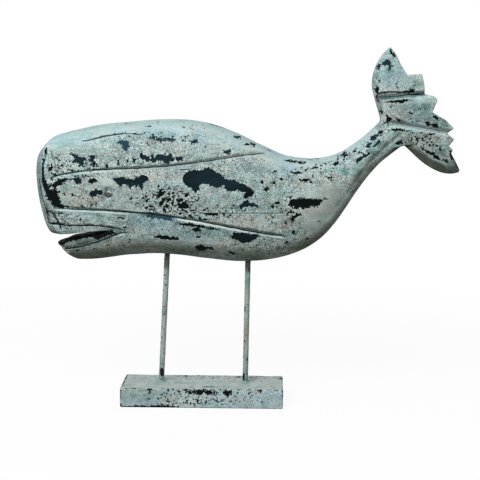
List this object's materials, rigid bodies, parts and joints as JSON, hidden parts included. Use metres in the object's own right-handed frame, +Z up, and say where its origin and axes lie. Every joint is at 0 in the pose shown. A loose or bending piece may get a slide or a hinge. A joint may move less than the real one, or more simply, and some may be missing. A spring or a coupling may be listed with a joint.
{
  "type": "whale figurine on a stand",
  "caption": "Carved wooden sperm whale with raised flukes, in crackled chalky blue-grey paint, held on slim metal rods over a rectangular wooden base",
  "frame": {"origin": "middle of the base's underside, on the surface it stands on", "axes": "+Z up; -X is the way the whale faces and +X its tail; -Y is the whale's own left side"},
  "size_m": [0.5075, 0.0746, 0.4323],
  "materials": {
    "whale_paint": "crackled chalky blue-grey paint over a near-black undercoat, chipped, with teal in the carved lines",
    "eye_paint": "worn brown-grey stud with a painted rim",
    "rod_paint": "thin blue-grey paint, rubbed and slightly rusty",
    "glue_bead": "hard glue under teal paint",
    "base_paint": "the same crackled blue-grey paint, worn black along the edges"
  },
  "bodies": {
    "root": {"whale_body": "whale_paint", "left_eye": "eye_paint", "right_eye": "eye_paint", "front_rod": "rod_paint", "rear_rod": "rod_paint", "front_glue_bead": "glue_bead", "rear_glue_bead": "glue_bead", "base_block": "base_paint"}
  },
  "joints": []
}
